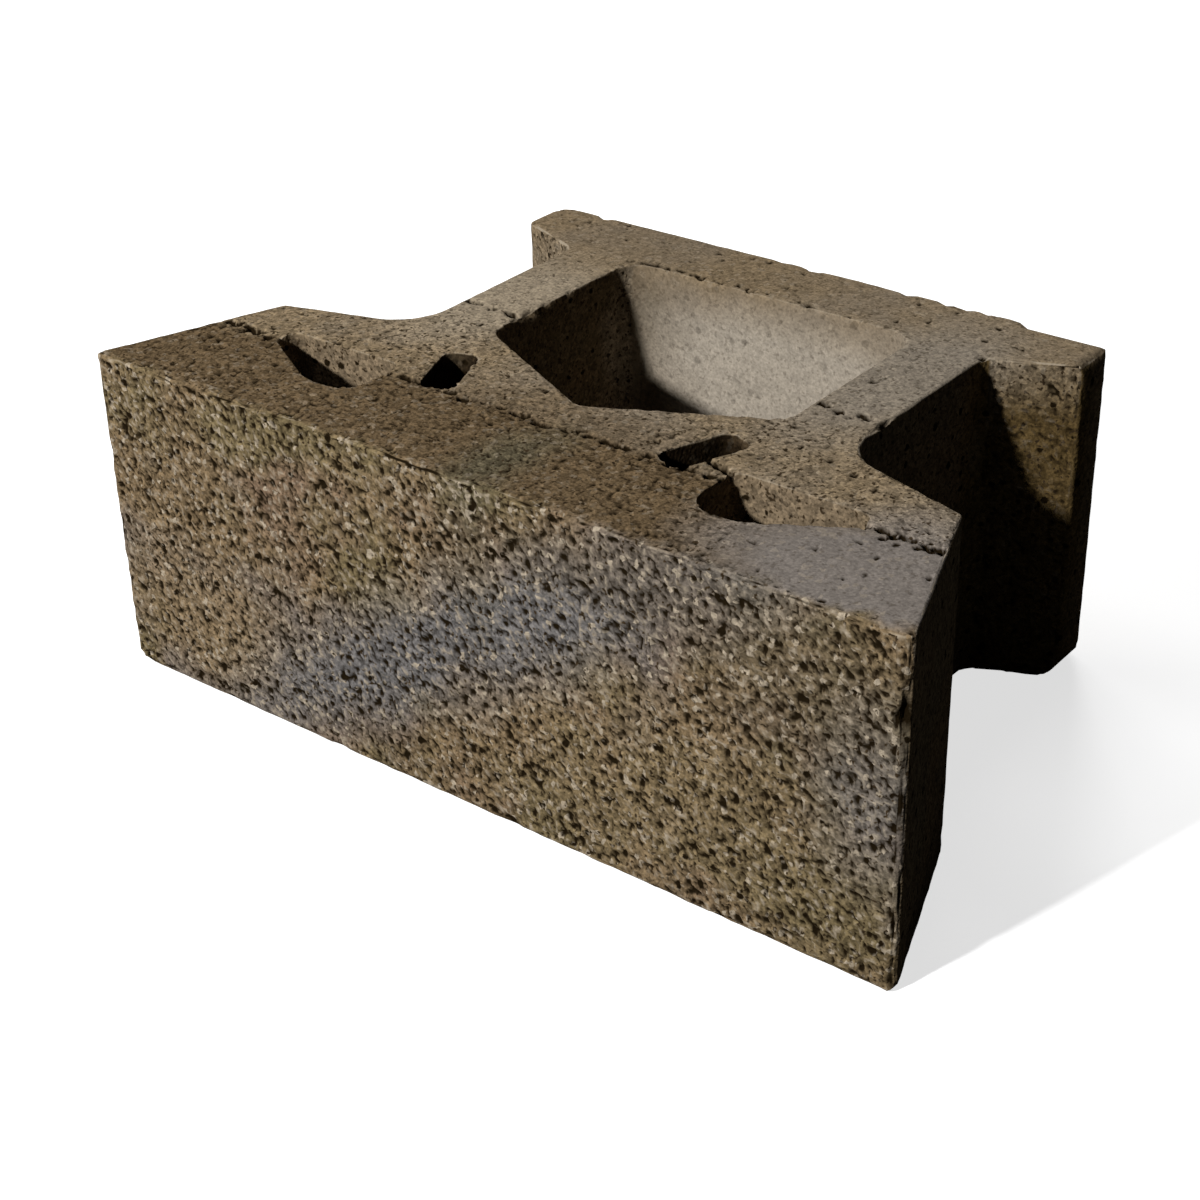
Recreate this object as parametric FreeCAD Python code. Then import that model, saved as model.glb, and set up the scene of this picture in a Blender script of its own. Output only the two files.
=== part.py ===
"""Dry-cast concrete retaining wall block with a waisted plan.

The block is one casting. A wide front part carries the face and tapers to
two shoulders, two straight webs run back from it, and a tail with two
wings closes the rear. A shield-shaped core, two kidney holes and two
tilted pin slots go right through from top to bottom. Every hole is a
little narrower at the bottom, so that the mould's cores draw out upwards.

Millimetres, +Z up. The origin is the middle of the block's plan box, on
the bed that it rests on. The face looks along -Y.
"""
import FreeCAD
import Part
import math
import os

# Overall size
FACE_WIDTH = 406.4
HEIGHT = 152.4
DEPTH = 254.0

# Front part: the sides close in to the shoulders, then the back edge runs in to the webs
SHOULDER_INSET = 31.0
SHOULDER_DEPTH = 86.0
SHOULDER_SLOPE = 18.0
FACE_CORNER_RADIUS = 3.0
SHOULDER_RADIUS = 4.0
WAIST_RADIUS = 24.0

# Core: its point looks at the face, its straight rear edge at the tail
CORE_WIDTH = 152.0
CORE_POINT_TO_FACE = 78.0
CORE_POINT_LENGTH = 37.0
CORE_POINT_RADIUS = 10.0
CORE_FRONT_RADIUS = 12.0
CORE_REAR_RADIUS = 14.0

# Webs and tail
WEB_THICKNESS = 34.0
TAIL_WALL = 40.0
WING_LENGTH = 38.0
WING_ROOT_THICKNESS = 43.0
WING_END_THICKNESS = 27.0
WING_ROOT_RADIUS = 8.0
WING_TIP_RADIUS = 4.0
TAIL_CORNER_RADIUS = 10.0

# Pin slots: one on each side of the middle, rear ends tilted outwards
SLOT_LENGTH = 35.0
SLOT_WIDTH = 15.0
SLOT_TILT = 21.0
SLOT_TO_MIDDLE = 65.0
SLOT_TO_FACE = 74.0
SLOT_RADIUS = 5.0

# Kidney holes: straight rear edge, bowed front, outer end drawn back
KIDNEY_TO_SLOT = 7.0
KIDNEY_LENGTH = 61.0
KIDNEY_DEPTH = 32.0
KIDNEY_END_DEPTH = 11.0
KIDNEY_BOW_LENGTH = 24.0
KIDNEY_REAR_TO_FACE = 66.0
KIDNEY_INNER_RADIUS = 12.0
KIDNEY_BOW_RADIUS = 28.0
KIDNEY_END_RADIUS = 5.0

# Draw of the mould's cores, and the small round along the outer edges
DRAFT_ANGLE = 0.5
EDGE_RADIUS = 2.0

# Cubic millimetres in a litre
LITRE = 1e6

# A rounded corner takes up at most this share of the shorter side beside it
CORNER_SHARE = 0.48


def rounded_wire(corners, z):
    """Close a polygon of (x, y, radius) corners into lines and tangent arcs at height z."""
    starts, middles, ends = [], [], []
    for index, (x, y, radius) in enumerate(corners):
        before = corners[index - 1]
        after = corners[(index + 1) % len(corners)]
        corner = FreeCAD.Vector(x, y, z)
        back = FreeCAD.Vector(before[0], before[1], z) - corner
        ahead = FreeCAD.Vector(after[0], after[1], z) - corner
        half_angle = back.getAngle(ahead) / 2
        room = CORNER_SHARE * min(back.Length, ahead.Length)
        reach = min(radius / math.tan(half_angle), room)
        radius = reach * math.tan(half_angle)
        back.normalize()
        ahead.normalize()
        inward = (back + ahead).normalize()
        starts.append(corner + back * reach)
        middles.append(corner + inward * (radius / math.sin(half_angle) - radius))
        ends.append(corner + ahead * reach)
    edges = []
    for index in range(len(corners)):
        following = (index + 1) % len(corners)
        edges.append(Part.Arc(starts[index], middles[index], ends[index]).toShape())
        edges.append(Part.LineSegment(ends[index], starts[following]).toShape())
    return Part.Wire(edges)


def inset_corners(corners, inset):
    """Draw a convex, anticlockwise polygon and its corner radii in by one distance."""
    drawn_in = []
    for index, (x, y, radius) in enumerate(corners):
        before = corners[index - 1]
        after = corners[(index + 1) % len(corners)]
        arriving = FreeCAD.Vector(x - before[0], y - before[1], 0).normalize()
        leaving = FreeCAD.Vector(after[0] - x, after[1] - y, 0).normalize()
        first = FreeCAD.Vector(-arriving.y, arriving.x, 0)
        second = FreeCAD.Vector(-leaving.y, leaving.x, 0)
        step = (first + second) * (inset / (1 + first.dot(second)))
        drawn_in.append((x + step.x, y + step.y, max(radius - inset, radius / 2)))
    return drawn_in


def drafted_hole(corners):
    """Make the tool for a through hole that is full size at the top and narrows downwards."""
    inset = HEIGHT * math.tan(math.radians(DRAFT_ANGLE))
    bottom = rounded_wire(inset_corners(corners, inset), 0)
    top = rounded_wire(corners, HEIGHT)
    return Part.makeLoft([bottom, top], True, True)


def mirrored(corners):
    """Mirror corners across the middle plane, keeping them anticlockwise."""
    return [(-x, y, radius) for x, y, radius in reversed(corners)]


def block_body():
    """Make the outer form: face, shoulders, waist, wings and tail."""
    side = FACE_WIDTH / 2
    web = CORE_WIDTH / 2 + WEB_THICKNESS
    tail = web + WING_LENGTH
    right_half = [
        (side, 0, FACE_CORNER_RADIUS),
        (side - SHOULDER_INSET, SHOULDER_DEPTH, SHOULDER_RADIUS),
        (web, SHOULDER_DEPTH + SHOULDER_SLOPE, WAIST_RADIUS),
        (web, DEPTH - WING_ROOT_THICKNESS, WING_ROOT_RADIUS),
        (tail, DEPTH - WING_END_THICKNESS, WING_TIP_RADIUS),
        (tail, DEPTH, TAIL_CORNER_RADIUS),
    ]
    outline = rounded_wire(right_half + mirrored(right_half), 0)
    body = Part.Face(outline).extrude(FreeCAD.Vector(0, 0, HEIGHT))
    level_edges = [
        edge for edge in body.Edges
        if edge.BoundBox.ZLength < EDGE_RADIUS
    ]
    return body.makeFillet(EDGE_RADIUS, level_edges)


def core_corners():
    """Corners of the shield-shaped core, anticlockwise from its point."""
    half = CORE_WIDTH / 2
    front = CORE_POINT_TO_FACE + CORE_POINT_LENGTH
    rear = DEPTH - TAIL_WALL
    return [
        (0, CORE_POINT_TO_FACE, CORE_POINT_RADIUS),
        (half, front, CORE_FRONT_RADIUS),
        (half, rear, CORE_REAR_RADIUS),
        (-half, rear, CORE_REAR_RADIUS),
        (-half, front, CORE_FRONT_RADIUS),
    ]


def slot_corners():
    """Corners of the right pin slot, a rounded oblong turned about its middle."""
    tilt = math.radians(SLOT_TILT)
    across = FreeCAD.Vector(math.cos(tilt), -math.sin(tilt), 0) * (SLOT_WIDTH / 2)
    along = FreeCAD.Vector(math.sin(tilt), math.cos(tilt), 0) * (SLOT_LENGTH / 2)
    middle = FreeCAD.Vector(SLOT_TO_MIDDLE, SLOT_TO_FACE, 0)
    points = [
        middle - along - across,
        middle - along + across,
        middle + along + across,
        middle + along - across,
    ]
    return [(point.x, point.y, SLOT_RADIUS) for point in points]


def kidney_corners():
    """Corners of the right kidney hole, outside the right pin slot."""
    inner = max(x for x, y, radius in slot_corners()) + KIDNEY_TO_SLOT
    outer = inner + KIDNEY_LENGTH
    rear = KIDNEY_REAR_TO_FACE
    front = rear - KIDNEY_DEPTH
    return [
        (inner, front, KIDNEY_INNER_RADIUS),
        (inner + KIDNEY_BOW_LENGTH, front, KIDNEY_BOW_RADIUS),
        (outer, rear - KIDNEY_END_DEPTH, KIDNEY_END_RADIUS),
        (outer, rear, KIDNEY_END_RADIUS),
        (inner, rear, KIDNEY_END_RADIUS),
    ]


def wall_block():
    """Cut every through hole from the body and put the origin under its middle."""
    hole_outlines = [core_corners()]
    for corners in (slot_corners(), kidney_corners()):
        hole_outlines.append(corners)
        hole_outlines.append(mirrored(corners))
    block = block_body()
    for corners in hole_outlines:
        block = block.cut(drafted_hole(corners))
    block = block.removeSplitter()
    block.translate(FreeCAD.Vector(0, -DEPTH / 2, 0))
    return block


os.makedirs("parts", exist_ok=True)
block = wall_block()
block.exportStep("parts/wall_block.step")
print("wall_block", block.ShapeType, "solids", len(block.Solids), "valid", block.isValid())
print("volume in litres", round(block.Volume / LITRE, 3), "box", block.BoundBox)
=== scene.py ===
# %% [markdown]
# # A dry-cast retaining wall block
#
# The block is one casting of earth-moist concrete. Its solid form is already known, so this
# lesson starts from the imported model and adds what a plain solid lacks: the rough grain of the
# face, the pits along the marks of the mould's core bars, chipped edges, and a mixed concrete
# colour. All lengths are in metres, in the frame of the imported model: X along the face, Y from
# the face to the tail, Z up.

import math
import random
from collections import namedtuple

import bmesh
import bpy
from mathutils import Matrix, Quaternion, Vector, kdtree, noise


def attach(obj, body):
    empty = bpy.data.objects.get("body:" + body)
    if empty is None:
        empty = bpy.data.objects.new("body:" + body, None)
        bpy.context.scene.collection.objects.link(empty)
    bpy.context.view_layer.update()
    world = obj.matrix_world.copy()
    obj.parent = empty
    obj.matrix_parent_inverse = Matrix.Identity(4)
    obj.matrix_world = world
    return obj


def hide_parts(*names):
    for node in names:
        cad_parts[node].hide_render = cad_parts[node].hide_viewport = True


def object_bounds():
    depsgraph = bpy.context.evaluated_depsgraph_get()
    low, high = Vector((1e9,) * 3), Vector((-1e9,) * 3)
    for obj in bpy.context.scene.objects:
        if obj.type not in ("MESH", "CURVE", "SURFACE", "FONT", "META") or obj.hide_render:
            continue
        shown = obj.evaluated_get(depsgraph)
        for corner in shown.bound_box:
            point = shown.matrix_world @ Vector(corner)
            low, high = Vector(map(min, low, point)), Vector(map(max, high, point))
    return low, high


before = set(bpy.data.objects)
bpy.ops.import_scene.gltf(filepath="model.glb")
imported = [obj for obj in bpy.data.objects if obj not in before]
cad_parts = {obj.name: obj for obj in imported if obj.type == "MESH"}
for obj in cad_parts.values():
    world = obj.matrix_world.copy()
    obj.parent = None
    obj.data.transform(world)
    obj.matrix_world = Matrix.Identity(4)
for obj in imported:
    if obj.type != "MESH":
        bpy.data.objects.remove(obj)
cad_low, cad_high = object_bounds()
MM = 0.001
NODE = "wall_block"
print("block box in mm", [round(size / MM, 1) for size in cad_high - cad_low])

# %% [markdown]
# ## Camera
#
# The camera looks at the block from its right front corner and from above. A camera can be placed
# by eye, or worked out from a few angles round a point. Angles are easier to correct later, so
# the camera's place comes from its turn, its height angle, its tilt and its distance.

# %% Set up the camera
CAMERA_TURN = 38.6
CAMERA_HEIGHT_ANGLE = 30.1
CAMERA_TILT = -1.52
CAMERA_DISTANCE = 0.950
CAMERA_LENS = 67.1
CAMERA_AIM = Vector((0, -0.027, 0.076))
CAMERA_AIM_RIGHT = -0.0069
CAMERA_AIM_UP = -0.0213


def photo_camera():
    """Make the camera that looks from the right front, down at the block."""
    turn = math.radians(CAMERA_TURN)
    height = math.radians(CAMERA_HEIGHT_ANGLE)
    level = math.cos(height)
    ahead = Vector((-math.sin(turn) * level, math.cos(turn) * level, -math.sin(height)))
    right = Vector((math.cos(turn), math.sin(turn), 0))
    up = right.cross(ahead)
    data = bpy.data.cameras.new("photo_camera")
    data.lens = CAMERA_LENS
    camera = bpy.data.objects.new("photo_camera", data)
    bpy.context.scene.collection.objects.link(camera)
    aim = CAMERA_AIM + right * CAMERA_AIM_RIGHT + up * CAMERA_AIM_UP
    camera.location = aim - ahead * CAMERA_DISTANCE
    camera.rotation_mode = "QUATERNION"
    tilt = Quaternion((0, 0, 1), math.radians(CAMERA_TILT))
    camera.rotation_quaternion = ahead.to_track_quat("-Z", "Y") @ tilt
    bpy.context.scene.camera = camera
    return camera


camera = photo_camera()
print("camera at", [round(value, 3) for value in camera.location])

# %% [markdown]
# ## An even mesh to work on
#
# The imported solid has long thin triangles, which can't hold any relief. A voxel remesh would give
# even squares, but it melts the crisp edges of the holes. So a copy is merged, its flat triangles
# are dissolved into whole faces, and those are cut by evenly spaced planes, as with a wire. One
# more cut just under the top keeps the painted highlight on the rims of the holes narrow. The face,
# the top and the inner walls of the tail are looked at most, so they are divided again, and once
# more where the bars of the mould left their marks. Thin faces at the ends of the rows stay whole.

# %% Merge a copy of the solid
MERGE_DISTANCE = 0.01 * MM
FLAT_ANGLE = math.radians(1)


def merged_solid(node):
    """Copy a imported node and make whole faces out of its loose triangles."""
    solid = bmesh.new()
    solid.from_mesh(node.data)
    bmesh.ops.remove_doubles(solid, verts=solid.verts, dist=MERGE_DISTANCE)
    bmesh.ops.dissolve_limit(solid, angle_limit=FLAT_ANGLE, verts=solid.verts, edges=solid.edges)
    return solid


cast = merged_solid(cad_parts[NODE])
print("merged solid has", len(cast.faces), "faces")

# %% Cut it into a grid
GRID = 5.1 * MM
SNAP = 0.8 * MM
SIDEWAYS, ALONG, UPWARDS = 0, 1, 2
TOP_Z = cad_high.z
RIM_DEPTH = 1.3 * MM
RIM_SNAP = 0.2 * MM


def slice_up(solid, axis):
    """Cut the whole solid by evenly spaced planes across an axis."""
    picked = [*solid.verts, *solid.edges, *solid.faces]
    across = Vector((0, 0, 0))
    across[axis] = 1
    for step in range(1, math.ceil((cad_high - cad_low)[axis] / GRID)):
        place = cad_low + across * (step * GRID)
        picked = bmesh.ops.bisect_plane(
            solid, geom=picked, dist=SNAP, plane_co=place, plane_no=across
        )["geom"]


for axis in (SIDEWAYS, ALONG, UPWARDS):
    slice_up(cast, axis)
everything = [*cast.verts, *cast.edges, *cast.faces]
rim_place = (0, 0, TOP_Z - RIM_DEPTH)
bmesh.ops.bisect_plane(
    cast, geom=everything, dist=RIM_SNAP, plane_co=rim_place, plane_no=(0, 0, 1)
)
print("grid has", len(cast.faces), "faces")

# %% Divide what is looked at most
THIN = 0.3 * GRID ** 2
SQUARE_ON = 0.95
SQUARE_SIDES = 4
FACE_CUTS = 3
TOP_CUTS = 2
CORE_CUTS = 1
WING_CUTS = 2
BAR_CUTS = 1
FACE_Y = cad_low.y
TAIL_ZONE = cad_high.y - 60 * MM
FRONTWARDS = 0.7
CORE_HALF = 76 * MM
BAR_Y = FACE_Y + 57 * MM
BAR_ZONE = 5 * MM


def divide(solid, wanted, cuts, smallest=THIN):
    """Cut every edge of the wanted faces a few times, and join the cuts to smaller squares."""
    solid.normal_update()
    faces = [
        face for face in solid.faces
        if face.calc_area() > smallest and wanted(face.normal, face.calc_center_median())
    ]
    edges = list({edge for face in faces for edge in face.edges})
    bmesh.ops.subdivide_edges(solid, edges=edges, cuts=cuts, use_grid_fill=True)


def on_face(normal, place):
    """Whether a point lies on the flat of the face."""
    return normal.y < -SQUARE_ON and place.y < FACE_Y + MM


def in_tail(normal, place):
    """Whether a point lies on the walls of the tail that look to the front."""
    return normal.y < -FRONTWARDS and place.y > TAIL_ZONE


def in_core(normal, place):
    """Whether a point lies on the core's rear wall."""
    return in_tail(normal, place) and abs(place.x) < CORE_HALF


def on_wings(normal, place):
    """Whether a point lies on the front of a wing."""
    return in_tail(normal, place) and abs(place.x) > CORE_HALF


def on_top(normal, place):
    """Whether a point lies on the top."""
    return normal.z > SQUARE_ON


def by_bar(normal, place):
    """Whether a point of the top lies close to the long bar mark."""
    return on_top(normal, place) and abs(place.y - BAR_Y) < BAR_ZONE


divide(cast, on_face, FACE_CUTS)
divide(cast, in_core, CORE_CUTS)
divide(cast, on_wings, WING_CUTS)
divide(cast, on_top, TOP_CUTS)
divide(cast, by_bar, BAR_CUTS, smallest=0)
many_sided = [face for face in cast.faces if len(face.verts) > SQUARE_SIDES]
bmesh.ops.triangulate(cast, faces=many_sided)
cast.normal_update()
cast.verts.ensure_lookup_table()
print("divided mesh has", len(cast.verts), "points and", len(cast.faces), "faces")

# %% [markdown]
# ## Grain of the concrete
#
# Dry-cast concrete is pressed, not poured, so sand and stone chips stand in its surface. On the
# face the grain is coarse, because the skin was torn when the mould drew away, and it runs over
# the top edge in a ragged line. The beds and the walls are smoother, and the right end of the top
# and the core's rear wall were trowelled almost flat. A displacement texture could give one grain
# to all of it, but moving each point in code lets every finish have its own. A point is pushed
# inwards only, never out, so the block keeps its real size. How deep it lies in the grain is kept
# as an attribute, so that the colour can paint shade into the hollows and a highlight onto the
# grain that stands proud.

# %% Finishes of the casting
Finish = namedtuple("Finish", "roughness wave contrast speckle")
FACE_FINISH = Finish(0.65 * MM, 0.3 * MM, 0.95, 1.0)
STRIP_FINISH = Finish(0.4 * MM, 0.2 * MM, 0.7, 1.0)
SMOOTH_FINISH = Finish(0.15 * MM, 0.2 * MM, 0.2, 0.35)
BED_FINISH = Finish(0.25 * MM, 0.2 * MM, 0.55, 0.95)
REAR_BED_FINISH = Finish(0.2 * MM, 0.2 * MM, 0.35, 0.55)
WALL_FINISH = Finish(0.3 * MM, 0.2 * MM, 0.2, 1.0)
WING_FINISH = Finish(0.6 * MM, 0.2 * MM, 0.7, 1.0)
CORE_FINISH = Finish(0.2 * MM, 0.2 * MM, 0.25, 0.3)
FACE_EDGE = 3 * MM
LEVEL = 0.5
WING_FADE = 26 * MM
CORE_FADE = 22 * MM
REAR_BED_START = FACE_Y + 105 * MM
REAR_BED_FADE = 25 * MM
RAGGED = 0.8
RAGGED_SIZE = 5 * MM
RAGGED_WIDTH = 6 * MM
SMOOTH_START = 108 * MM
SMOOTH_FADE = 14 * MM


def clamp(value):
    """Hold a value between 0 and 1."""
    return min(max(value, 0.0), 1.0)


def blend(first, second, share):
    """A finish between two others."""
    return Finish(*(one + (two - one) * share for one, two in zip(first, second)))


def finish_of(place, normal):
    """The finish at a point, and how far it belongs to the face and to the walls."""
    if place.y < FACE_Y + FACE_EDGE and -normal.y > abs(normal.z):
        return FACE_FINISH, 1.0, 0.0
    if normal.z < LEVEL and not in_tail(normal, place):
        return WALL_FINISH, 0.0, 1.0
    below = TOP_Z - place.z
    if normal.z < LEVEL and abs(place.x) < CORE_HALF:
        return CORE_FINISH, 0.0, clamp(below / CORE_FADE)
    # The right wing's front turns from the bed colour at the top to its wall colour below, which is
    # partly painted shade.
    if normal.z < LEVEL and place.x > 0:
        return WING_FINISH, 0.0, clamp(below / WING_FADE)
    if normal.z < LEVEL:
        return BED_FINISH, 0.0, 0.0
    if place.y > BAR_Y:
        calm = clamp((place.y - REAR_BED_START) / REAR_BED_FADE)
        return blend(BED_FINISH, REAR_BED_FINISH, calm), 0.0, 0.0
    ragged = RAGGED * noise.noise(place / RAGGED_SIZE)
    smooth = clamp((place.x - SMOOTH_START) / SMOOTH_FADE + ragged)
    torn = clamp(1 - (place.y - FACE_Y) / RAGGED_WIDTH + ragged)
    return blend(blend(STRIP_FINISH, SMOOTH_FINISH, smooth), FACE_FINISH, torn), torn, 0.0


places = [vert.co.copy() for vert in cast.verts]
normals = [vert.normal.copy() for vert in cast.verts]
finishes = [finish_of(place, normal) for place, normal in zip(places, normals)]
face_shares = [face_share for finish, face_share, wall_share in finishes]
wall_shares = [wall_share for finish, face_share, wall_share in finishes]
print(int(sum(face_shares)), "points on the face,", int(sum(wall_shares)), "on the walls")

# %% Push in the grain
CHIP_SIZE = 2.2 * MM
SAND_SIZE = 1.4 * MM
SAND_SHARE = 0.5
SAND_SHIFT = Vector((3.1, 7.7, 1.3))
WAVE_SIZE = 45 * MM
GRAIN_TOP = 0.6
PIT_LEVEL = -0.34
PIT_GAIN = 3.0
EDGE_RELIEF = 0.3
EDGE_REACH = 5 * MM
HALF = 0.5

moves = [Vector((0, 0, 0)) for place in places]
hollows = [0.0] * len(places)
speckles = [0.0] * len(places)
reliefs = [1.0] * len(places)


def relief_at(place):
    """Full relief, but less towards the face's top edge, where deep grain would fold."""
    distance = max(TOP_Z - place.z, place.y - FACE_Y)
    return EDGE_RELIEF + (1 - EDGE_RELIEF) * clamp(distance / EDGE_REACH)


def grain(place):
    """Stone chips and sand as one number: above 0 on a chip, below 0 in a hollow."""
    chips = noise.noise(place / CHIP_SIZE)
    sand = noise.noise(place / SAND_SIZE + SAND_SHIFT)
    return chips + sand * SAND_SHARE


for index, (place, normal) in enumerate(zip(places, normals)):
    finish = finishes[index][0]
    height = grain(place)
    reliefs[index] = relief_at(place)
    rise = max(GRAIN_TOP - height, 0) + PIT_GAIN * max(PIT_LEVEL - height, 0)
    depth = finish.roughness * reliefs[index] * rise
    depth += finish.wave * (1 + noise.noise(place / WAVE_SIZE))
    moves[index] -= normal * depth
    # How deep a point lies in the grain. It is later painted as shade in the hollows and as a
    # highlight on the grain that stands proud.
    hollows[index] = clamp(HALF - finish.contrast * height)
    speckles[index] = finish.speckle
print("deepest grain in mm", round(max(move.length for move in moves) / MM, 2))

# %% [markdown]
# ## Pits
#
# Where the moist mix did not close up, small holes stay open. They are thick on the face and on
# the inner walls, and sparse on the top. A pit could be cut out as a solid, but hundreds of cuts
# are slow. Here a pit is a round dent: the nearest points are found with a tree and pushed in,
# most in the middle, and painted shade darkens it.

# %% A tree of points, and a dent
SEED = 7
draw = random.Random(SEED)
nearby = kdtree.KDTree(len(places))
for index, place in enumerate(places):
    nearby.insert(place, index)
nearby.balance()


def between(low, high):
    """A seeded random number between two limits."""
    return draw.uniform(low, high)


def dent(centre, radius, depth, inward, pit_shade=1.0):
    """Push every point near a centre inwards, most in the middle, and paint shade into the dent."""
    for place, index, distance in nearby.find_range(centre, radius):
        share = (1 - (distance / radius) ** 2) ** 2
        moves[index] += inward * (depth * share * reliefs[index])
        hollows[index] = max(hollows[index], clamp(HALF + share * pit_shade))


print("points that can be dented", len(places))

# %% Scatter the pits
PIT_RADIUS = (1.2 * MM, 2.4 * MM)
PIT_DEPTH = (0.8 * MM, 2.0 * MM)
INTO_FACE = Vector((0, 1, 0))
INTO_TOP = Vector((0, 0, -1))
FACE_PITS = 700
TOP_PITS = 200
WING_PITS = 130
CORE_EDGE_PITS = 26
BAR_END_PITS = 14
WEB_X = 110 * MM
TAIL_X = 148 * MM
WING_FRONT = cad_high.y - 43 * MM
WING_SET_BACK = 16 * MM
CORE_REAR = cad_high.y - 40 * MM
CORE_EDGE_END = 20 * MM
CORE_EDGE_WIDTH = 4 * MM
BAR_ENDS = ((152 * MM, 184 * MM), (-176 * MM, -148 * MM))
BAR_END_FRONT = BAR_Y - 5 * MM
BAR_END_REAR = BAR_Y + 3 * MM
OPEN_HOLLOW = 0.9


def pit_patch(count, low, high, inward):
    """Scatter pits over a box between two corners."""
    for pit in range(count):
        centre = Vector([between(*limits) for limits in zip(low, high)])
        dent(centre, between(*PIT_RADIUS), between(*PIT_DEPTH), inward)


def open_points():
    """How many points lie in an open hollow."""
    return sum(1 for hollow in hollows if hollow > OPEN_HOLLOW)


wing_foot = (WEB_X, WING_FRONT, 0)
wing_end = (TAIL_X, WING_FRONT + WING_SET_BACK, TOP_Z)
core_edge_left = (-CORE_HALF, CORE_REAR, TOP_Z)
core_edge_right = (CORE_EDGE_END, CORE_REAR + CORE_EDGE_WIDTH, TOP_Z)
pit_patch(FACE_PITS, cad_low, (cad_high.x, FACE_Y, TOP_Z), INTO_FACE)
pit_patch(TOP_PITS, (cad_low.x, FACE_Y, TOP_Z), cad_high, INTO_TOP)
pit_patch(WING_PITS, wing_foot, wing_end, INTO_FACE)
pit_patch(CORE_EDGE_PITS, core_edge_left, core_edge_right, INTO_TOP)
for left, right in BAR_ENDS:
    pit_patch(BAR_END_PITS, (left, BAR_END_FRONT, TOP_Z), (right, BAR_END_REAR, TOP_Z), INTO_TOP)
print("open hollows at", open_points(), "points")

# %% [markdown]
# ## Marks of the core bars
#
# Steel bars carry the cores of the mould, and under them the mix is hardly pressed at all. So a
# wandering row of deep pits marks where each bar ran: one across the whole block, through the
# kidney holes and the pin slots, and a short one over each web. A cut groove would come out too
# clean, so the same dent makes them, larger and closer together.

# %% Press in the bar marks
WEB_BAR_Y = FACE_Y + 134 * MM
WEB_BAR = (72 * MM, 114 * MM)
BAR_WANDER = 1.5 * MM
DASH_PITS = (1, 6)
DASH_STEP = 1.5 * MM
DASH_GAP = (2.5 * MM, 8 * MM)
DASH_WANDER = 0.5 * MM
DEEP_RADIUS = (1.5 * MM, 2.8 * MM)
DEEP_DEPTH = (1.5 * MM, 4.0 * MM)
DEEP_PIT_SHADE = 1.6
GROOVE_START = Vector((69 * MM, FACE_Y + 69 * MM, TOP_Z))
GROOVE_END = Vector((89 * MM, FACE_Y + 62 * MM, TOP_Z))
GROOVE_PITS = 14


def deep_pit(place):
    """One deep pit in the top, painted dark as shade."""
    dent(place, between(*DEEP_RADIUS), between(*DEEP_DEPTH), INTO_TOP, DEEP_PIT_SHADE)


def bar_mark(start, end, bar):
    """A wandering row of dashes across the top, each made of a few deep pits."""
    x = start
    while x < end:
        y = bar + between(-BAR_WANDER, BAR_WANDER)
        for pit in range(draw.randint(*DASH_PITS)):
            deep_pit(Vector((x, y + between(-DASH_WANDER, DASH_WANDER), TOP_Z)))
            x += DASH_STEP
        x += between(*DASH_GAP)


bar_mark(cad_low.x, cad_high.x, BAR_Y)
bar_mark(WEB_BAR[0], WEB_BAR[1], WEB_BAR_Y)
bar_mark(-WEB_BAR[1], -WEB_BAR[0], WEB_BAR_Y)
for pit in range(GROOVE_PITS):
    deep_pit(GROOVE_START.lerp(GROOVE_END, pit / (GROOVE_PITS - 1)))
print("open hollows at", open_points(), "points")

# %% [markdown]
# ## Chips and worn corners
#
# Blocks are tumbled about on pallets, so edges chip and corners wear round. A bevel would be the
# same all along an edge, and wear is not. So a chip is a dent that is pushed along the diagonal
# of its edge, and a worn edge or corner is drawn back onto a quarter circle. Along the top of the
# face the circle grows and shrinks, so that the edge comes out soft and uneven. The tail's wings
# are worn most, on their front edges, and the right one round its end too.

# %% Wear the sharp edges, and pick the rims of the holes for a painted highlight
SHARP_ANGLE = math.radians(40)
EDGE_WEAR = (0.2 * MM, 0.9 * MM)
DEEP_HOLLOW = 0.85
RIM_HIGHLIGHT = 0.0
RIM_TILT = (0.35, 0.93)
RIM_GAPS = -0.2

cast.edges.ensure_lookup_table()
sharp_edges = [edge for edge in cast.edges if edge.calc_face_angle(0) > SHARP_ANGLE]
sharp_points = {vert.index for edge in sharp_edges for vert in edge.verts}
for index in sorted(sharp_points):
    share = clamp(HALF + noise.noise(places[index] / CHIP_SIZE))
    moves[index] -= normals[index] * (EDGE_WEAR[0] + (EDGE_WEAR[1] - EDGE_WEAR[0]) * share)
# Painted highlight: the sloping rims of the holes, except in deep pits and at random gaps, are marked
# to be painted pale, as edges that catch the light.
highlighted_rims = {
    index for index, normal in enumerate(normals)
    if RIM_TILT[0] < normal.z < RIM_TILT[1] and places[index].y > FACE_Y + FACE_EDGE
}
for index in sorted(highlighted_rims):
    if hollows[index] < DEEP_HOLLOW and noise.noise(places[index] / CHIP_SIZE) > RIM_GAPS:
        hollows[index] = RIM_HIGHLIGHT
print("worn points on sharp edges", len(sharp_points), "points on pale rims", len(highlighted_rims))

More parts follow.
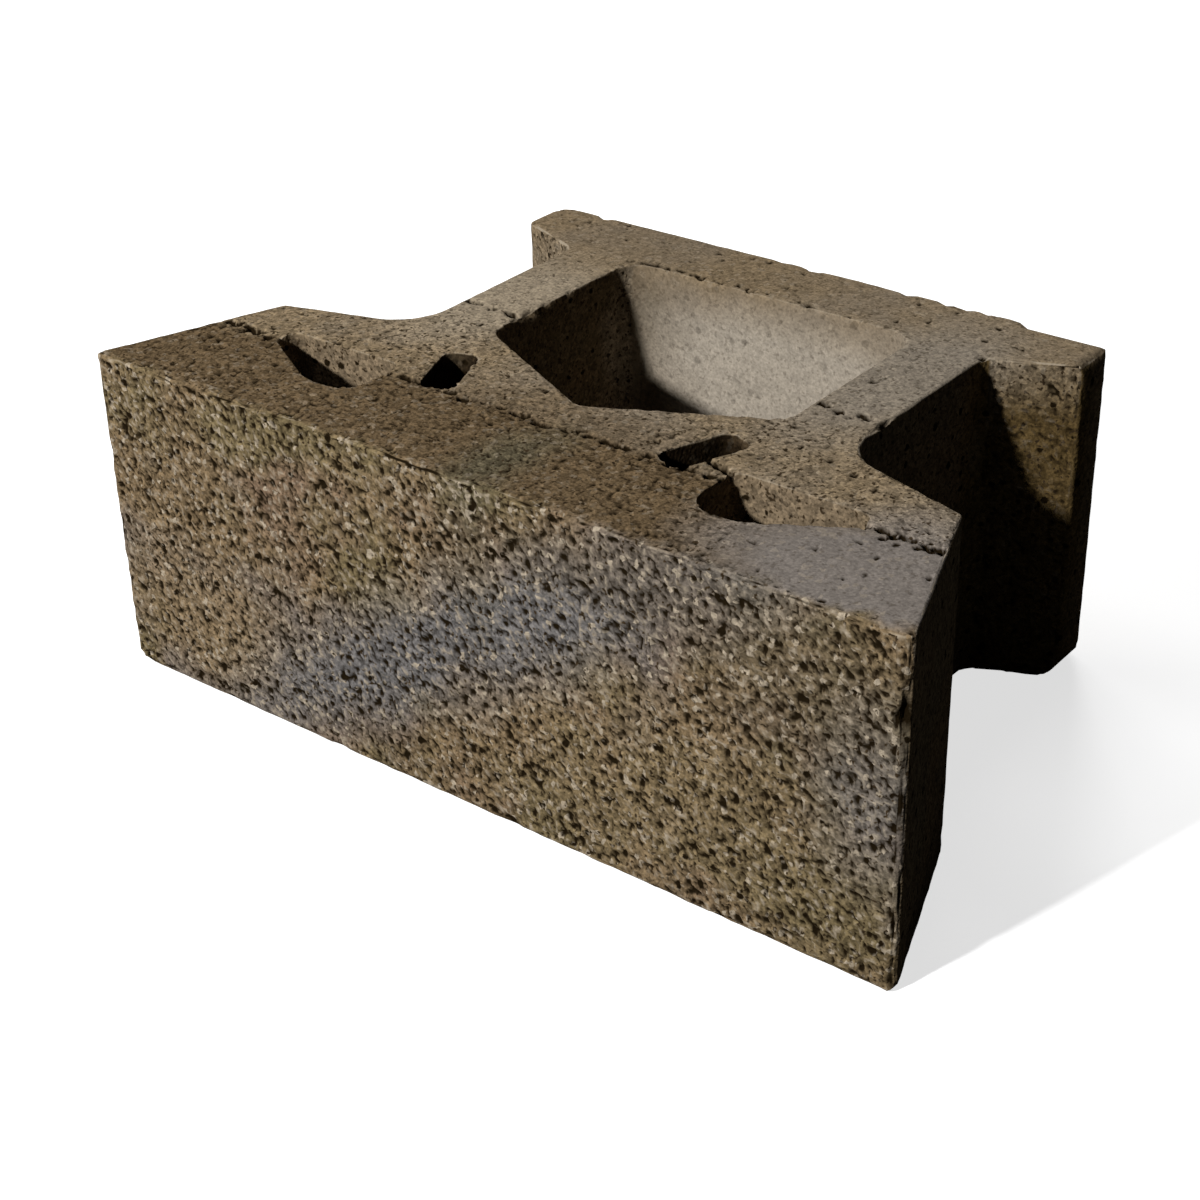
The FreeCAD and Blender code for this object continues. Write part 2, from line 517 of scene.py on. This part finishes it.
# %% Chip the edges
CORE_LEFT_EDGE = Vector((-1, 0, -1)).normalized()
REAR_TOP_EDGE = Vector((0, -1, -1)).normalized()
RIGHT_FRONT_EDGE = Vector((-1, 1, 0)).normalized()
CORE_CHIPS = 9
SIDE_CHIPS = 24
REAR_CHIPS = 12
CHIP_RADIUS = (2.5 * MM, 6 * MM)
CHIP_DEPTH = (0.5 * MM, 2.0 * MM)
CHIP_SHADE = 0.15
CORE_CHIPS_START = FACE_Y + 118 * MM
CORE_CHIPS_END = FACE_Y + 155 * MM
BIG_CHIP = Vector((cad_high.x, FACE_Y, 119 * MM))
BIG_CHIP_RADIUS = 7 * MM
BIG_CHIP_DEPTH = 3.5 * MM


def chip_row(count, start, end, inward):
    """Chip an edge at random places between its two ends, with a little painted shade in each chip."""
    for chip in range(count):
        centre = start.lerp(end, draw.random())
        dent(centre, between(*CHIP_RADIUS), between(*CHIP_DEPTH), inward, CHIP_SHADE)


face_right_top = Vector((cad_high.x, FACE_Y, TOP_Z))
face_right_foot = Vector((cad_high.x, FACE_Y, cad_low.z))
tail_left_top = Vector((-TAIL_X, cad_high.y, TOP_Z))
tail_right_top = Vector((TAIL_X, cad_high.y, TOP_Z))
core_left_front = Vector((-CORE_HALF, CORE_CHIPS_START, TOP_Z))
core_left_middle = Vector((-CORE_HALF, CORE_CHIPS_END, TOP_Z))
chip_row(CORE_CHIPS, core_left_front, core_left_middle, CORE_LEFT_EDGE)
chip_row(SIDE_CHIPS, face_right_foot, face_right_top, RIGHT_FRONT_EDGE)
chip_row(REAR_CHIPS, tail_left_top, tail_right_top, REAR_TOP_EDGE)
dent(BIG_CHIP, BIG_CHIP_RADIUS, BIG_CHIP_DEPTH, RIGHT_FRONT_EDGE)
print("small chips", CORE_CHIPS + SIDE_CHIPS + REAR_CHIPS, "and a big one")

# %% Round the worn corners
TOP_EDGE_WEAR = 4 * MM
TOP_EDGE_CHANGE = 0.9
TOP_EDGE_LEAST = 2.8 * MM
TOP_EDGE_SIZE = 9 * MM
LEFT_FOOT_WEAR = 13 * MM
RIGHT_FOOT_WEAR = 6 * MM
TAIL_FOOT_WEAR = 12.5 * MM
TAIL_EDGE_WEAR = 9 * MM
TAIL_EDGE_START = 102 * MM
TAIL_EDGE_FADE = 5 * MM
TAIL_END_WEAR = 8 * MM
WING_START = 118 * MM
WING_LENGTH = 38 * MM
WING_EDGE_WEAR = 9 * MM
WEAR_REACH = 70 * MM
middle = (cad_low + cad_high) / 2
face_left_foot = Vector((cad_low.x, FACE_Y, cad_low.z))
tail_right_foot = Vector((TAIL_X, cad_high.y, cad_low.z))


def wear_round(place, corner, axes, radius, inside=middle):
    """Draw a point beyond a rounded corner back onto its quarter circle, across two axes."""
    hub = place.copy()
    for axis in axes:
        hub[axis] = corner[axis] - math.copysign(radius, corner[axis] - inside[axis])
    arm = place - hub
    beyond = all(arm[axis] * (corner[axis] - inside[axis]) > 0 for axis in axes)
    return hub + arm * (radius / arm.length) if beyond and arm.length > radius else place


def worn_face(place):
    """Round the top and the feet of the face, the feet less and less towards the back."""
    fade = clamp(1 - (place.y - FACE_Y) / WEAR_REACH)
    share = 1 + TOP_EDGE_CHANGE * noise.noise(Vector((place.x / TOP_EDGE_SIZE, 0, 0)))
    radius = max(TOP_EDGE_WEAR * share, TOP_EDGE_LEAST)
    place = wear_round(place, face_right_top, (ALONG, UPWARDS), radius)
    place = wear_round(place, face_right_foot, (SIDEWAYS, UPWARDS), RIGHT_FOOT_WEAR * fade)
    return wear_round(place, face_left_foot, (SIDEWAYS, UPWARDS), LEFT_FOOT_WEAR * fade)


def worn_tail(place):
    """Round the tail's right end, and the front edges of both wings."""
    place = wear_round(place, tail_right_foot, (SIDEWAYS, UPWARDS), TAIL_FOOT_WEAR)
    share = clamp((place.x - TAIL_EDGE_START) / TAIL_EDGE_FADE)
    place = wear_round(place, tail_right_top, (ALONG, UPWARDS), TAIL_EDGE_WEAR * share)
    place = wear_round(place, tail_right_top, (SIDEWAYS, UPWARDS), TAIL_END_WEAR)
    along_wing = abs(place.x) - WING_START
    wing_y = WING_FRONT + along_wing * (WING_SET_BACK / WING_LENGTH)
    wing_top = Vector((place.x, wing_y, TOP_Z))
    radius = WING_EDGE_WEAR * clamp(along_wing / TAIL_EDGE_FADE)
    return wear_round(place, wing_top, (ALONG, UPWARDS), radius, tail_right_foot)


def worn(place):
    """Wear a point of the face or the tail, and leave any other as it is."""
    if place.y - FACE_Y < WEAR_REACH:
        return worn_face(place)
    return worn_tail(place) if place.y > TAIL_ZONE else place


pushed_places = [place + move for place, move in zip(places, moves)]
worn_places = [worn(place) for place in pushed_places]
drawn_back = sum(1 for before, after in zip(pushed_places, worn_places) if before != after)
print("points drawn back by wear", drawn_back)

# %% Put the relief into the mesh
LAYERS = {
    "hollow": hollows,
    "speckle": speckles,
    "face_share": face_shares,
    "wall_share": wall_shares,
}

for name, values in LAYERS.items():
    layer = cast.verts.layers.float.new(name)
    for index, vert in enumerate(cast.verts):
        vert[layer] = values[index]
for index, vert in enumerate(cast.verts):
    moved = worn_places[index]
    for axis in (SIDEWAYS, ALONG, UPWARDS):
        moved[axis] = min(max(moved[axis], cad_low[axis]), cad_high[axis])
    vert.co = moved
for face in cast.faces:
    face.smooth = True
for edge in sharp_edges:
    edge.smooth = False
block = bpy.data.objects.new("cast_block", bpy.data.meshes.new("cast_block"))
bpy.context.scene.collection.objects.link(block)
cast.to_mesh(block.data)
triangles = sum(len(face.verts) - 2 for face in cast.faces)
cast.free()
print("cast block has", triangles, "triangles")

# %% [markdown]
# ## Concrete colour
#
# Two mixes, a tan one and a charcoal one, are dropped into the mould together and swirl. The
# colour could be painted on an unwrapped image, but here it is built out of nodes on Object
# coordinates, so that it stays put from every side and at any distance: slow noise for the swirl,
# zones for the larger stains and for painted shade on the walls of the slots and, in part, of the
# right wing, small cells for sand grains, and what the mesh carries as attributes to paint shade
# into the pits and hollows and a highlight on proud grain and rims, and to keep the face, the beds
# and the walls apart.

# %% Start the material
def add_node(graph, kind, links=None, **settings):
    """Add a node, set its fields, and link or fill the named input sockets."""
    node = graph.nodes.new(kind)
    for name, value in settings.items():
        setattr(node, name, value)
    for name, value in (links or {}).items():
        socket = node.inputs[name]
        if isinstance(value, bpy.types.NodeSocket):
            graph.links.new(value, socket)
        else:
            socket.default_value = value
    return node


concrete = bpy.data.materials.new("cast_concrete")
concrete.use_nodes = True
graph = concrete.node_tree
where = add_node(graph, "ShaderNodeTexCoord").outputs["Object"]
hollow, speckle, face_share, wall_share = [
    add_node(graph, "ShaderNodeAttribute", attribute_name=name).outputs["Fac"] for name in LAYERS
]
print("the material reads", list(LAYERS))

# %% Mix colours and move coordinates about
WANDER_SIZE = 30 * MM
WANDER_REACH = 0.03
WANDER_DETAIL = 4.0


def mix_colour(graph, share, first, second):
    """Mix two colours by a share from 0 to 1."""
    sockets = {0: share, 6: first, 7: second}
    return add_node(graph, "ShaderNodeMix", sockets, data_type="RGBA").outputs[2]


def scale_colour(graph, colour, factor):
    """Make a colour lighter or darker, or an arrow longer or shorter, by a factor."""
    sockets = {0: colour, 3: factor}
    return add_node(graph, "ShaderNodeVectorMath", sockets, operation="SCALE").outputs[0]


def times(graph, first, second):
    """Multiply two numbers."""
    sockets = {0: first, 1: second}
    return add_node(graph, "ShaderNodeMath", sockets, operation="MULTIPLY").outputs[0]


def remap(graph, value, low, high, to_low=0.0, to_high=1.0):
    """Stretch the part of a value between low and high to another range."""
    sockets = {"Value": value, "From Min": low, "From Max": high, "To Min": to_low, "To Max": to_high}
    return add_node(graph, "ShaderNodeMapRange", sockets).outputs["Result"]


def stretch(graph, share, limits):
    """Stretch a share from 0 to 1 so that it runs between two limits."""
    return remap(graph, share, 0, 1, *limits)


def wandering(graph, where, size, reach):
    """Coordinates that are pushed about by noise, so that patches on them get uneven edges."""
    sockets = {"Vector": where, "Scale": 1 / size, "Detail": WANDER_DETAIL}
    push = add_node(graph, "ShaderNodeTexNoise", sockets).outputs["Color"]
    sockets = {0: push, 1: (HALF, HALF, HALF)}
    centred = add_node(graph, "ShaderNodeVectorMath", sockets, operation="SUBTRACT").outputs[0]
    sockets = {0: where, 1: scale_colour(graph, centred, reach)}
    return add_node(graph, "ShaderNodeVectorMath", sockets, operation="ADD").outputs[0]


stained = wandering(graph, where, WANDER_SIZE, WANDER_REACH)
print("nodes so far", len(graph.nodes))

# %% [markdown]
# ## Swirls and stains
#
# The mixes lie in the patches that the drop into the mould gave them. Noise alone makes swirls,
# but it can't put a band or a pale corner where it belongs. So each larger stain is a soft-edged
# ellipsoid in space, which leaves a patch where it meets the surface, and the wandering
# coordinates make its outline uneven. The stains stand in tables and are laid on in their order.
# The same ellipsoids lay painted shade on the walls of the pin slots, and partly on the front of
# the right wing.

# %% Swirls and stains of the face
Swirl = namedtuple("Swirl", "tint shift low high")
Stain = namedtuple("Stain", "name tint share centre radii soft turn wanders", defaults=(0.0, True))
TAN = (0.196, 0.138, 0.077, 1)
OLIVE = (0.168, 0.128, 0.066, 1)
ROSE = (0.196, 0.132, 0.084, 1)
MAUVE = (0.178, 0.142, 0.112, 1)
CHARCOAL = (0.157, 0.147, 0.141, 1)
DUSK = (0.118, 0.092, 0.064, 1)
OCHRE = (0.240, 0.170, 0.094, 1)
SWIRL_SIZE = 55 * MM
BAND_TURN = math.radians(30)
FACE_SWIRLS = (
    Swirl(OLIVE, 0.0, 0.46, 0.60),
    Swirl(ROSE, 5.0, 0.52, 0.64),
    Swirl(MAUVE, 9.0, 0.54, 0.66),
)
FACE_STAINS = (
    Stain("rising band", CHARCOAL, 1.0, (-0.002, -0.127, 0.077), (0.180, 0.06, 0.024), 0.5, BAND_TURN),
    Stain("right corner", CHARCOAL, 0.7, (0.188, -0.127, 0.082), (0.020, 0.06, 0.035), 0.5),
    Stain("low left", OCHRE, 0.8, (-0.155, -0.127, 0.040), (0.045, 0.06, 0.028), 0.5),
    Stain("low right", OCHRE, 0.5, (0.085, -0.127, 0.048), (0.07, 0.06, 0.035), 0.5),
    Stain("above the band", DUSK, 0.6, (0.085, -0.127, 0.134), (0.05, 0.06, 0.018), 0.5),
    Stain("upper right", DUSK, 0.5, (0.160, -0.127, 0.112), (0.04, 0.06, 0.03), 0.5),
)


def cloud(graph, where, size, shift, detail=3.0):
    """Soft noise with lumps of about the given size."""
    sockets = {"Vector": where, "Scale": 1 / size, "Detail": detail, "W": shift}
    return add_node(graph, "ShaderNodeTexNoise", sockets, noise_dimensions="4D").outputs["Fac"]


def swirled(graph, where, colour, swirls):
    """Swirl other mixes into a colour, one after another."""
    for swirl in swirls:
        lumps = cloud(graph, where, SWIRL_SIZE, swirl.shift)
        colour = mix_colour(graph, remap(graph, lumps, swirl.low, swirl.high), colour, swirl.tint)
    return colour


def zone(graph, where, stain):
    """Share of a stain's soft-edged ellipsoid: 1 in the middle, 0 outside."""
    turn = (0, -stain.turn, 0)
    sockets = {"Vector": where, "Location": stain.centre, "Rotation": turn, "Scale": stain.radii}
    scaled = add_node(graph, "ShaderNodeMapping", sockets, vector_type="TEXTURE").outputs["Vector"]
    arm = add_node(graph, "ShaderNodeVectorMath", {0: scaled}, operation="LENGTH").outputs["Value"]
    return remap(graph, arm, 1 + stain.soft, 1 - stain.soft)


def with_stains(graph, where, stained, colour, stains):
    """Lay stains over a colour, one after another."""
    for stain in stains:
        inside = zone(graph, stained if stain.wanders else where, stain)
        colour = mix_colour(graph, times(graph, inside, stain.share), colour, stain.tint)
    return colour


face_colour = swirled(graph, where, TAN, FACE_SWIRLS)
face_colour = with_stains(graph, where, stained, face_colour, FACE_STAINS)
print("stains of the face", [stain.name for stain in FACE_STAINS])

# %% Strip and stains of the beds
BED = (0.258, 0.192, 0.116, 1)
BED_GREY = (0.238, 0.190, 0.134, 1)
STRIP_BROWN = (0.140, 0.096, 0.052, 1)
LILAC = (0.222, 0.194, 0.170, 1)
PALE_WEB = (0.270, 0.228, 0.176, 1)
PALE_LEFT = (0.335, 0.272, 0.192, 1)
STRIP_EDGE = 4 * MM
BED_SWIRLS = (Swirl(BED_GREY, 2.0, 0.42, 0.62),)
BED_STAINS = (
    Stain("right end", LILAC, 1.0, (0.175, -0.098, 0.152), (0.070, 0.040, 0.03), 0.35),
    Stain("right web", PALE_WEB, 1.0, (0.095, 0.05, 0.152), (0.03, 0.06, 0.03), 0.4),
    Stain("left web", PALE_LEFT, 1.0, (-0.095, 0.02, 0.152), (0.035, 0.05, 0.03), 0.4),
    Stain("tail", STRIP_BROWN, 0.2, (-0.06, 0.108, 0.152), (0.09, 0.03, 0.03), 0.5),
    Stain("before the core", STRIP_BROWN, 0.6, (0.0, -0.062, 0.152), (0.07, 0.02, 0.03), 0.5),
)

bed_colour = swirled(graph, where, BED, BED_SWIRLS)
along = add_node(graph, "ShaderNodeSeparateXYZ", {0: stained}).outputs["Y"]
strip = remap(graph, along, BAR_Y + STRIP_EDGE, BAR_Y - STRIP_EDGE)
bed_colour = mix_colour(graph, strip, bed_colour, STRIP_BROWN)
bed_colour = with_stains(graph, where, stained, bed_colour, BED_STAINS)
print("stains of the beds", [stain.name for stain in BED_STAINS])

# %% Stains of the walls, and painted shade in the slots and on the right wing
WALL_BROWN = (0.150, 0.104, 0.059, 1)
WALL_OLIVE = (0.128, 0.097, 0.058, 1)
KIDNEY_WALL = (0.190, 0.142, 0.090, 1)
# Painted shade: the walls of the pin slots are painted nearly black.
SLOT_SHADE = (0.020, 0.013, 0.007, 1)
# Partly darker concrete, partly painted shade on the front of the right wing.
WING_BROWN_AND_SHADE = (0.100, 0.066, 0.026, 1)
PALE_CORE = (0.400, 0.348, 0.280, 1)
KIDNEY_SIZE = (0.035, 0.02, 0.03)
SLOT_SIZE = (0.020, 0.025, 0.06)
WING_SIZE = (0.035, 0.025, 0.12)
WALL_SWIRLS = (Swirl(WALL_OLIVE, 3.0, 0.42, 0.62),)
WALL_STAINS = (
    Stain("left kidney", KIDNEY_WALL, 1.0, (-0.115, -0.061, 0.140), KIDNEY_SIZE, 0.4),
    Stain("left slot shade", SLOT_SHADE, 1.0, (-0.064, -0.053, 0.12), SLOT_SIZE, 0.15, wanders=False),
    Stain("right kidney", KIDNEY_WALL, 1.0, (0.115, -0.061, 0.140), KIDNEY_SIZE, 0.4),
    Stain("right slot shade", SLOT_SHADE, 1.0, (0.064, -0.053, 0.12), SLOT_SIZE, 0.15, wanders=False),
    Stain("right wing and shade", WING_BROWN_AND_SHADE, 1.0, (0.13, 0.09, 0.08), WING_SIZE, 0.2, wanders=False),
    Stain("core", PALE_CORE, 1.0, (0.01, 0.080, 0.11), (0.075, 0.03, 0.07), 0.35),
)

wall_colour = swirled(graph, where, WALL_BROWN, WALL_SWIRLS)
wall_colour = with_stains(graph, where, stained, wall_colour, WALL_STAINS)
print("stains of the walls", [stain.name for stain in WALL_STAINS])

# %% Put the three together
GREEN_GREY = (0.115, 0.100, 0.062, 1)
EDGE_STAINS = (
    Stain("over the edge", GREEN_GREY, 0.8, (0.006, -0.108, 0.150), (0.014, 0.032, 0.05), 0.6),
)

colour = mix_colour(graph, wall_share, bed_colour, wall_colour)
colour = mix_colour(graph, face_share, colour, face_colour)
colour = with_stains(graph, where, stained, colour, EDGE_STAINS)
print("nodes so far", len(graph.nodes))

# %% [markdown]
# ## Sand, specks and pinholes
#
# Seen close, the concrete is sand. Each grain has its own tone, some are pale flecks, and dark
# specks and open pinholes lie between them, far too many to model one by one. Cells with a random
# tone make the grains, and other cells place the pinholes, painted nearly black as painted shade;
# soft noise makes the specks. The speckle attribute says how much of it a finish shows, so that
# the trowelled parts stay calm.

# %% Sand grains and flecks
GRAIN_CELL = 2.2 * MM
GRAIN_SHARES = (0.05, 0.85)
GRAIN_TONES = (0.6, 1.4)
FLECK_CHANCE = (0.91, 0.94)
FACE_FLECKS = (0.25, 0.85)
WALL_FLECKS = (1.0, 0.2)
# Pale flecks of the sand. The same colour is also the painted highlight on proud grain and on the
# rims.
FLECK_AND_HIGHLIGHT_COLOUR = (0.42, 0.35, 0.26, 1)

cells = add_node(graph, "ShaderNodeTexVoronoi", {"Vector": where, "Scale": 1 / GRAIN_CELL})
tone = add_node(graph, "ShaderNodeSeparateColor", {"Color": cells.outputs["Color"]}).outputs
toned = scale_colour(graph, colour, stretch(graph, tone["Red"], GRAIN_TONES))
colour = mix_colour(graph, stretch(graph, speckle, GRAIN_SHARES), colour, toned)
face_flecks = stretch(graph, face_share, FACE_FLECKS)
flecks = times(graph, face_flecks, stretch(graph, wall_share, WALL_FLECKS))
fleck = times(graph, remap(graph, tone["Green"], *FLECK_CHANCE), flecks)
colour = mix_colour(graph, fleck, colour, FLECK_AND_HIGHLIGHT_COLOUR)
print("nodes so far", len(graph.nodes))

# %% Specks, and painted shade for the pinholes
SPECK_SIZE = 1.8 * MM
SPECK_SHIFT = 4.0
SPECK_DETAIL = 1.0
SPECK_LEVELS = (0.40, 0.33)
SPECK_COLOUR = (0.045, 0.030, 0.016, 1)
PINHOLE_CELL = 7.5 * MM
PINHOLE_RADIUS = (0.02, 0.25)
PINHOLE_EDGE = 0.035
PINHOLE_WANDER_SIZE = 2.5 * MM
PINHOLE_WANDER = 2.5 * MM
PIT_SHADE_COLOUR = (0.014, 0.009, 0.004, 1)


def pinholes(graph, where):
    """Share of painted shade for small open holes, one in each cell, uneven in size and outline."""
    uneven = wandering(graph, where, PINHOLE_WANDER_SIZE, PINHOLE_WANDER)
    sockets = {"Vector": uneven, "Scale": 1 / PINHOLE_CELL}
    holes = add_node(graph, "ShaderNodeTexVoronoi", sockets).outputs
    chance = add_node(graph, "ShaderNodeSeparateColor", {"Color": holes["Color"]}).outputs["Blue"]
    sockets = {0: stretch(graph, chance, PINHOLE_RADIUS), 1: holes["Distance"]}
    inside = add_node(graph, "ShaderNodeMath", sockets, operation="SUBTRACT").outputs[0]
    return remap(graph, inside, -PINHOLE_EDGE, PINHOLE_EDGE)


speck = remap(graph, cloud(graph, where, SPECK_SIZE, SPECK_SHIFT, SPECK_DETAIL), *SPECK_LEVELS)
colour = mix_colour(graph, times(graph, speck, speckle), colour, SPECK_COLOUR)
# Painted shade: the pinholes are painted nearly black, like the inside of an open hole.
colour = mix_colour(graph, times(graph, pinholes(graph, where), speckle), colour, PIT_SHADE_COLOUR)
print("nodes so far", len(graph.nodes))

# %% Fine grain, painted shade in the hollows, and painted highlights on proud grain and rims
FINE_SIZE = 1.3 * MM
FINE_SHIFT = 1.0
FINE_DETAIL = 2.0
FINE_LEVELS = (0.3, 0.7)
FINE_TONES = (0.6, 1.4)
FINE_SHARES = (0.25, 1.0)
HOLLOW_SHADE_LEVELS = (0.58, 0.92)
PROUD_HIGHLIGHT_LEVELS = (0.35, 0.05)
PROUD_HIGHLIGHT_SHARES = (0.2, 0.55)
RIM_HIGHLIGHT_LEVELS = (0.06, 0.0)
RIM_HIGHLIGHT_SHARES = (0.0, 0.65)

fine = cloud(graph, where, FINE_SIZE, FINE_SHIFT, FINE_DETAIL)
grainy = scale_colour(graph, colour, remap(graph, fine, *FINE_LEVELS, *FINE_TONES))
colour = mix_colour(graph, stretch(graph, speckle, FINE_SHARES), colour, grainy)
# Painted shade: the deeper a point lies in a hollow or a pit, the nearer it is painted to black.
colour = mix_colour(graph, remap(graph, hollow, *HOLLOW_SHADE_LEVELS), colour, PIT_SHADE_COLOUR)
# Painted highlight: grain that stands proud on the face is painted pale.
proud_highlight = remap(graph, hollow, *PROUD_HIGHLIGHT_LEVELS)
proud_highlight = times(graph, proud_highlight, stretch(graph, face_share, PROUD_HIGHLIGHT_SHARES))
colour = mix_colour(graph, proud_highlight, colour, FLECK_AND_HIGHLIGHT_COLOUR)
# Painted highlight on the rims of the holes.
colour = mix_colour(graph, remap(graph, hollow, *RIM_HIGHLIGHT_LEVELS, *RIM_HIGHLIGHT_SHARES), colour, FLECK_AND_HIGHLIGHT_COLOUR)
print("nodes so far", len(graph.nodes))

# %% Finish the material and put it on the block
ROUGHNESS = 0.92
SHINE = 0.0
BUMP_SHARES = (0.1, 0.75)
BUMP_HEIGHT = 0.8 * MM

shader = graph.nodes["Principled BSDF"]
graph.links.new(colour, shader.inputs["Base Color"])
shader.inputs["Roughness"].default_value = ROUGHNESS
shader.inputs["Specular IOR Level"].default_value = SHINE
strength = stretch(graph, speckle, BUMP_SHARES)
sockets = {"Height": fine, "Strength": strength, "Distance": BUMP_HEIGHT}
bump = add_node(graph, "ShaderNodeBump", sockets)
graph.links.new(bump.outputs["Normal"], shader.inputs["Normal"])
block.data.materials.append(concrete)
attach(block, "root")
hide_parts(NODE)
print("the concrete has", len(graph.nodes), "nodes")

# %% [markdown]
# ## Floor and light
#
# The floor is plain and pale. Close to the block it shows the shadow, and further away it lights
# itself more and more, so that the picture ends in white. More light on the block would do that
# too, but would bleach the concrete. The key lamp stands high at the left front, small enough for
# clear shadows in the core. A soft lamp at the left rear lifts the top without reaching into the
# holes, and a low one there fills the back and the left side. A weak lamp overhead, a little to
# the left, and a dim world keep the shadows from going black.

# %% Floor
FLOOR_SIZE = 8.0
FLOOR_COLOUR = (0.85, 0.85, 0.85, 1)
FLOOR_BOUNCE = (0.10, 0.10, 0.10, 1)
FLOOR_LIFT = 0.70
WHITE_LEVEL = 1.0
SHADOW_REACH = (0.40, 0.85)
FLOOR_GAP = 0.2 * MM


def seen_directly(graph):
    """1 for the rays that show the background itself: camera, mirror and glass rays."""
    rays = add_node(graph, "ShaderNodeLightPath").outputs
    seen = rays["Is Camera Ray"]
    for name in ("Is Glossy Ray", "Is Transmission Ray"):
        sockets = {0: seen, 1: rays[name]}
        seen = add_node(graph, "ShaderNodeMath", sockets, operation="MAXIMUM").outputs[0]
    return seen


def floor_paint():
    """Pale paint that keeps a shadow near the block and turns white further off."""
    material = bpy.data.materials.new("pale_floor")
    material.use_nodes = True
    graph = material.node_tree
    graph.nodes.clear()
    seen = seen_directly(graph)
    where = add_node(graph, "ShaderNodeTexCoord").outputs["Object"]
    arm = add_node(graph, "ShaderNodeVectorMath", {0: where}, operation="LENGTH").outputs["Value"]
    lift = remap(graph, arm, *SHADOW_REACH, FLOOR_LIFT, WHITE_LEVEL)
    colour = mix_colour(graph, seen, FLOOR_BOUNCE, FLOOR_COLOUR)
    paint = add_node(graph, "ShaderNodeBsdfDiffuse", {"Color": colour})
    glow = add_node(graph, "ShaderNodeEmission", {"Strength": times(graph, seen, lift)})
    both = add_node(graph, "ShaderNodeAddShader", {0: paint.outputs[0], 1: glow.outputs[0]})
    add_node(graph, "ShaderNodeOutputMaterial", {"Surface": both.outputs[0]})
    return material


def pale_floor():
    """A wide plane under the block."""
    mesh = bpy.data.meshes.new("floor")
    flat = bmesh.new()
    bmesh.ops.create_grid(flat, x_segments=1, y_segments=1, size=FLOOR_SIZE / 2)
    bmesh.ops.translate(flat, verts=flat.verts, vec=(0, 0, cad_low.z - FLOOR_GAP))
    flat.to_mesh(mesh)
    flat.free()
    floor = bpy.data.objects.new("floor", mesh)
    bpy.context.scene.collection.objects.link(floor)
    mesh.materials.append(floor_paint())


pale_floor()
print("floor", FLOOR_SIZE, "m wide")

# %% Lamps and world
Lamp = namedtuple("Lamp", "name direction size watts")
LAMPS = (
    Lamp("key", Vector((-0.28, -1.73, 1.10)), 0.12, 48.0),
    Lamp("rear", Vector((-1.0, 1.2, 1.3)), 1.2, 10.0),
    Lamp("overhead", Vector((-0.8, -0.2, 2.0)), 0.8, 6.5),
    Lamp("back_fill", Vector((-0.8, 1.6, 0.32)), 0.6, 24.0),
)
LAMP_DISTANCE = 2.2
WORLD_FILL = 0.015
WHITE = (1, 1, 1, 1)


def light_up(lamp):
    """Set up a square lamp that shines at the block's foot from its direction."""
    data = bpy.data.lights.new(lamp.name, "AREA")
    data.energy = lamp.watts
    data.size = lamp.size
    light = bpy.data.objects.new(lamp.name, data)
    bpy.context.scene.collection.objects.link(light)
    light.location = lamp.direction.normalized() * LAMP_DISTANCE
    light.rotation_mode = "QUATERNION"
    light.rotation_quaternion = (-light.location).to_track_quat("-Z", "Y")


def white_world():
    """White where the camera looks past the floor, dim as a fill light."""
    world = bpy.data.worlds.new("studio")
    bpy.context.scene.world = world
    world.use_nodes = True
    graph = world.node_tree
    sky = graph.nodes["Background"]
    sky.inputs["Color"].default_value = WHITE
    level = stretch(graph, seen_directly(graph), (WORLD_FILL, WHITE_LEVEL))
    graph.links.new(level, sky.inputs["Strength"])


for lamp in LAMPS:
    light_up(lamp)
white_world()
bpy.context.scene.view_settings.view_transform = "Standard"
print("lamps", [lamp.name for lamp in LAMPS])
